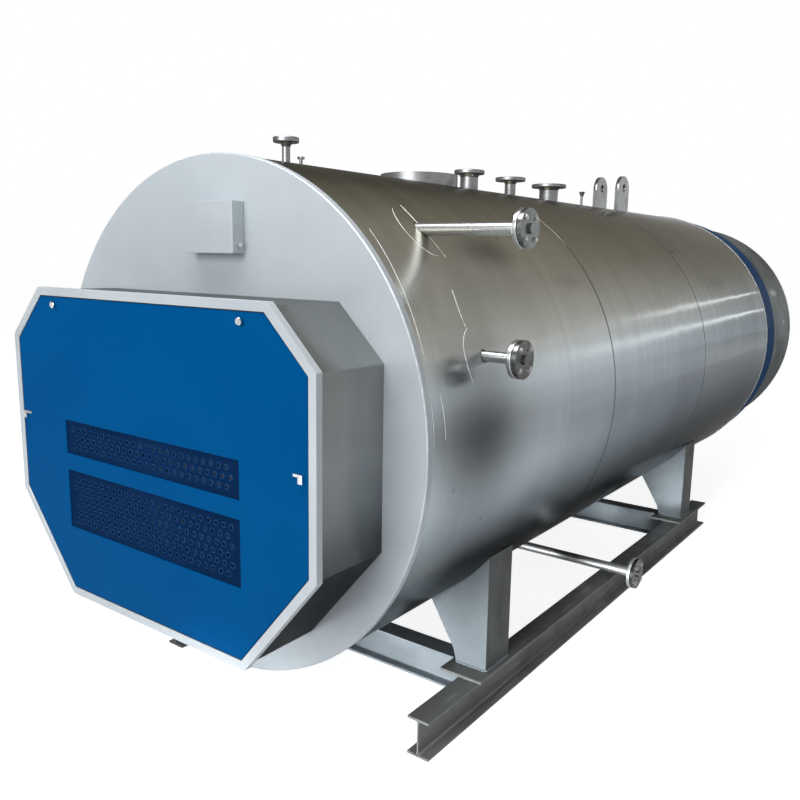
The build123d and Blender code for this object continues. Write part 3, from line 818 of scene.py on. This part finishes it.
# %% [markdown]
# ## Cut edges of the protective film
# Stainless sheet is delivered under a plastic film. Where it was cut and pulled off round the gauge pipes,
# thin edges are left, and their pale colour is partly the film and partly a painted glint. Such an edge is a
# ribbon that lies on the cylinder: its line is given as millimetres behind the plate and degrees above the
# axis, a smooth curve goes through them, and a low three-sided section follows it.

# %% Ribbons on the cylinder
FILM_LIFT, FILM_SINK, FILM_STATIONS = 0.0006, -0.0002, 40
FILM_WIDTH, FAINT_WIDTH, FILM_TIP = 0.0034, 0.0015, 0.004


def barrel_ribbon(stops, width=FILM_WIDTH):
    """Ribbon on the cylinder. Between stops the distance and the angle follow a smooth cubic. At each
    station the section has a left foot, a crest and a right foot, square to the line, and its width follows
    the root of a sine, so that the ribbon ends in points."""
    stops = np.array(stops, float)
    knots = np.linspace(0, 1, len(stops))
    t = np.linspace(0, 1, FILM_STATIONS)
    degree = min(3, len(stops) - 1)
    fit = [np.polyval(np.polyfit(knots, stops[:, column], degree), t) for column in (0, 1)]
    distance, arc = fit[0] / 1000, LAGGING_RADIUS * np.radians(fit[1])
    step = np.stack([np.gradient(distance), np.gradient(arc)], axis=1)
    step /= np.linalg.norm(step, axis=1)[:, None]
    taper = width / 2 * np.sqrt(np.sin(math.pi * np.clip(t, FILM_TIP, 1 - FILM_TIP)))
    rows = []
    for sideways, lift in ((-1, FILM_SINK), (0, FILM_LIFT), (1, FILM_SINK)):
        row_distance = distance - step[:, 1] * taper * sideways
        row_angle = (arc + step[:, 0] * taper * sideways) / LAGGING_RADIUS
        radius = LAGGING_RADIUS + lift
        rows.append(np.stack([
            radius * np.cos(row_angle), PLATE_FACE + row_distance, AXIS_Z + radius * np.sin(row_angle),
        ], axis=1))
    return np.stack(rows, axis=1).reshape(-1, 3), skin(FILM_STATIONS, len(rows), flip=True)


film_lines = [
    [(364, 56), (356, 50.5), (355, 46), (365, 39.8)],
    [(295, 54.3), (258, 49.2), (250, 44.5), (290, 41.2), (334, 40.1)],
    [(299, 31.8), (289, 27.4), (292, 23.6)],
    [(298, 23.4), (256, 21), (245, 17.5), (249, 15), (258, 12.4)],
    [(32, 13.2), (35.5, 8.9), (36, 4.5), (33, -0.8)],
    [(82, 11.6), (90, 7.8), (93, 2.9)],
]
faint_line = [(78, 47), (64, 38), (51, 28), (42, 18)]
film = joined([barrel_ribbon(line) for line in film_lines] + [barrel_ribbon(faint_line, FAINT_WIDTH)])
make_piece("film_edges", film, film_edge_with_glint())

# %% [markdown]
# ## Weld beads at the feet
# The legs are welded to their base plates all round. A bead is a row of overlapping drops, so its radius
# goes up and down along the run. The path is a straight run and the section is a circle of a few points.

# %% Beads round each leg
BEAD_RADIUS, BEAD_STEP, BEAD_SIDES = 0.0055, 0.003, 8
BEAD_LOW, BEAD_SWELL, BEAD_PACE, BEAD_END = 0.85, 0.25, 0.9, 0.4
LEG_FOOT = 0.13
UP = np.array((0, 0, 1.0))


def bead(start, end):
    """Weld bead: circles along a straight run. Their radius is the usual one times the sum of a low share
    and a swell, and the swell goes with the size of a sine of the way along. The two ends are drawn in."""
    start, end = np.array(start, float), np.array(end, float)
    length = np.linalg.norm(end - start)
    stations = max(6, int(length / BEAD_STEP))
    t = np.linspace(0, 1, stations)
    radius = BEAD_RADIUS * (BEAD_LOW + BEAD_SWELL * np.abs(np.sin(t * length / BEAD_STEP * BEAD_PACE)))
    radius[[0, -1]] *= BEAD_END
    sideways = np.cross((end - start) / length, UP)
    angle = np.arange(BEAD_SIDES) * 2 * math.pi / BEAD_SIDES
    spokes = np.cos(angle)[:, None] * sideways + np.sin(angle)[:, None] * UP
    points = (start + t[:, None] * (end - start))[:, None, :] + radius[:, None, None] * spokes
    return points.reshape(-1, 3), skin(stations, BEAD_SIDES, flip=True)


beads = []
for name in matching("_leg_"):
    low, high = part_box(name)
    outer = high.x if low.x > 0 else low.x
    inner = outer - LEG_FOOT if low.x > 0 else outer + LEG_FOOT
    corners = [(outer, low.y), (outer, high.y), (inner, high.y), (inner, low.y)]
    for (x0, y0), (x1, y1) in zip(corners, corners[1:] + corners[:1]):
        beads.append(bead((x0, y0, low.z), (x1, y1, low.z)))
make_piece("foot_welds", joined(beads), finishes["leg_paint"], sharp=60)

# %% [markdown]
# ## Floor and world
# The studio has a plain pale floor and a white surround. White is what the camera sees, through Light Path.
# In reflections the surround darkens towards the ceiling, as a real hall does, which gives the round barrel
# its long soft shading. The light that reaches the object from all round stays at one plain level.

# %% Floor
FLOOR_HALF, FLOOR_GREY, FLOOR_WHITE, CAMERA_SHARE = 60.0, (0.85, 0.85, 0.85, 1), 2.95, 0.3


def floor_material():
    """Pale floor: plain diffuse light and shadow, lifted towards white by a fixed share for camera rays,
    and for mirrored ones by a share that grows with the distance from the boiler."""
    material = bpy.data.materials.new("studio_floor")
    material.use_nodes = True
    tree = material.node_tree
    tree.nodes.clear()
    output = add(tree, "OutputMaterial")
    ground = add(tree, "BsdfDiffuse", {"Color": FLOOR_GREY})
    white = add(tree, "Emission", {"Color": (*WHITE, 1), "Strength": FLOOR_WHITE})
    rays, point = add(tree, "LightPath"), add(tree, "TexCoord")
    away = maths(tree, "LENGTH", (point, "Object"), kind="VectorMath")
    far = span(tree, away, low=0.02, high=0.22, from_low=3.5, from_high=16.0, output="Value")
    mirrored = maths(tree, "MULTIPLY", (rays, "Is Glossy Ray"), (far, 0))
    share = maths(tree, "MULTIPLY_ADD", (rays, "Is Camera Ray"), CAMERA_SHARE, (mirrored, 0))
    blend = join(tree, share, add(tree, "MixShader"))
    join(tree, ground, blend, 0, 1)
    join(tree, white, blend, 0, 2)
    join(tree, blend, output, 0, "Surface")
    return material


floor_mesh = bpy.data.meshes.new("studio_floor")
floor_corners = [(x * FLOOR_HALF, y * FLOOR_HALF, 0) for x, y in ((-1, -1), (1, -1), (1, 1), (-1, 1))]
floor_mesh.from_pydata(floor_corners, [], [(0, 1, 2, 3)])
floor_mesh.materials.append(floor_material())
floor = put("studio_floor", floor_mesh)
print("floor:", 2 * FLOOR_HALF, "m wide")

# %% World
CEILING_TONES = [
    (0.0, (0.9, 0.93, 0.96)), (0.1, (0.78, 0.8, 0.81)), (0.22, (0.5, 0.48, 0.44)), (0.4, (0.32, 0.3, 0.26)),
    (1.0, (0.36, 0.36, 0.36)),
]
FILL_COLOUR, FILL_STRENGTH = (0.93, 0.96, 1.0, 1), 0.17


def studio_world():
    """White for the camera. For reflections the brightness falls from the horizon to a dim warm ceiling,
    and straight down the hall and to the left it is dimmer."""
    world = bpy.data.worlds.new("studio")
    world.use_nodes = True
    tree = world.node_tree
    tree.nodes.clear()
    output = add(tree, "OutputWorld")
    parts = join(tree, add(tree, "TexCoord"), add(tree, "SeparateXYZ"), "Generated", 0)
    ceiling = ramp(tree, parts, CEILING_TONES, output="Z")
    down_the_hall = span(tree, parts, low=1.2, high=1.05, from_low=0.9, from_high=0.975, output="Y")
    to_the_left = span(tree, parts, low=0.4, high=1.0, from_low=-0.45, from_high=-0.1, output="X")
    dimming = maths(tree, "MULTIPLY", (down_the_hall, 0), (to_the_left, 0))
    around = join(tree, ceiling, add(tree, "Background"), "Color", "Color")
    join(tree, dimming, around, 0, "Strength")
    fill = add(tree, "Background", {"Color": FILL_COLOUR, "Strength": FILL_STRENGTH})
    white = add(tree, "Background", {"Color": (*WHITE, 1), "Strength": 1.0})
    rays = add(tree, "LightPath")
    shiny = maths(tree, "MAXIMUM", (rays, "Is Glossy Ray"), (rays, "Is Transmission Ray"))
    seen = join(tree, shiny, add(tree, "MixShader"))
    join(tree, fill, seen, 0, 1)
    join(tree, around, seen, 0, 2)
    final = join(tree, rays, add(tree, "MixShader"), "Is Camera Ray", 0)
    join(tree, seen, final, 0, 1)
    join(tree, white, final, 0, 2)
    join(tree, final, output, 0, "Surface")
    return world


bpy.context.scene.world = studio_world()
print("world:", bpy.context.scene.world.name)

# %% [markdown]
# ## Lamps
# A large soft key lamp in front and above, and a second one over the front end, light most of the boiler.
# Two long thin strips, far down the hall on the right, draw the bright lines along the barrel. The legs and
# beams are under the barrel, where the large lamps hardly reach, so four work lamps with narrow cones light
# them.

# %% Lamps
COOL, KEY_COLOUR = (0.95, 0.98, 1.0), (0.97, 0.985, 1.0)
CONE_BLEND, WORK_LAMP_SIZE, STRIP_WIDTH = 0.6, 0.25, 0.14


def aimed(name, kind, place, target, watts, colour):
    """Lamp of a kind at a place. Its own -Z axis, along which it shines, is turned towards the target."""
    data = bpy.data.lights.new(name, kind)
    data.energy, data.color = watts, colour
    lamp = put(name, data)
    lamp.location = place
    lamp.rotation_euler = (Vector(target) - Vector(place)).to_track_quat("-Z", "Y").to_euler()
    return lamp


def area_lamp(name, place, target, size, watts, colour=WHITE):
    """Rectangular lamp of a length and a width, aimed at a target."""
    lamp = aimed(name, "AREA", place, target, watts, colour)
    lamp.data.shape = "RECTANGLE"
    lamp.data.size, lamp.data.size_y = size
    return lamp


def work_lamp(name, place, target, degrees, watts):
    """Lamp with a narrow soft cone, aimed at a target."""
    lamp = aimed(name, "SPOT", place, target, watts, COOL)
    lamp.data.spot_size, lamp.data.spot_blend = math.radians(degrees), CONE_BLEND
    lamp.data.shadow_soft_size = WORK_LAMP_SIZE
    return lamp


def strip_lamp(name, start, end, watts):
    """Long thin lamp between two points that shines along -X: its own X follows the run, its own Z points
    back."""
    run = Vector(end) - Vector(start)
    lamp = area_lamp(name, start, end, (run.length, STRIP_WIDTH), watts)
    across = run.normalized().cross(Vector((-1, 0, 0))).normalized()
    back = run.normalized().cross(across)
    lamp.location = (Vector(start) + Vector(end)) / 2
    lamp.rotation_euler = Matrix((run.normalized(), across, back)).transposed().to_euler()
    return lamp


lamps = [
    area_lamp("key", (0.4, along(-6.5), 4.0), (0, along(0.8), 1.2), (5.0, 3.5), 490, KEY_COLOUR),
    area_lamp("top", (0.2, along(-0.7), 5.2), (0, along(0.4), 1.2), (4.0, 2.2), 270),
    work_lamp("leg_light", (1.2, along(-4.5), 0.3), (0.8, along(1.4), 0.1), 8.5, 1500),
    work_lamp("rear_leg_light", (1.6, along(-4.5), 0.5), (0.7, along(2.9), 0.26), 4, 3500),
    work_lamp("rear_beam_light", (0.55, along(-4.5), 0.5), (0.2, along(2.7), 0.1), 5, 2600),
    work_lamp("beam_light", (0.9, along(-4.5), 0.16), (0.25, along(0.6), -0.08), 8.5, 1500),
    strip_lamp("strip_0", (4.0, along(7.5), 1.92), (4.0, along(18.9), 2.46), 14),
    strip_lamp("strip_1", (4.0, along(11.4), 3.24), (4.0, along(22.3), 4.18), 12),
]
print("lamps:", [(lamp.name, lamp.data.energy) for lamp in lamps])

# %% [markdown]
# ## Camera
# The photograph was taken at standing eye height, from the front and to the right of the boiler, a little
# above the barrel's axis. The place and the turn come from fitting the round plate, the sheet joints and
# the skid.

# %% Camera
CAMERA_PLACE = (2.0226, along(-1.7256), 1.6646)
CAMERA_YAW, CAMERA_PITCH, CAMERA_ROLL = math.radians(36.34), math.radians(10.2), math.radians(0.96)
FOCAL_PIXELS, FRAME_PIXELS, SENSOR_WIDTH = 800.0, 800, 36.0

forward = Vector((
    -math.sin(CAMERA_YAW) * math.cos(CAMERA_PITCH),
    math.cos(CAMERA_YAW) * math.cos(CAMERA_PITCH),
    -math.sin(CAMERA_PITCH),
))
camera = put("camera", bpy.data.cameras.new("camera"))
camera.data.sensor_width = SENSOR_WIDTH
camera.data.lens = SENSOR_WIDTH * FOCAL_PIXELS / FRAME_PIXELS
turn = forward.to_track_quat("-Z", "Y").to_matrix() @ Matrix.Rotation(CAMERA_ROLL, 3, "Z")
camera.location = CAMERA_PLACE
camera.rotation_euler = turn.to_euler()
bpy.context.scene.camera = camera
bpy.context.scene.view_settings.view_transform = "Standard"
print("camera at", [round(v, 3) for v in camera.location], "lens", camera.data.lens)
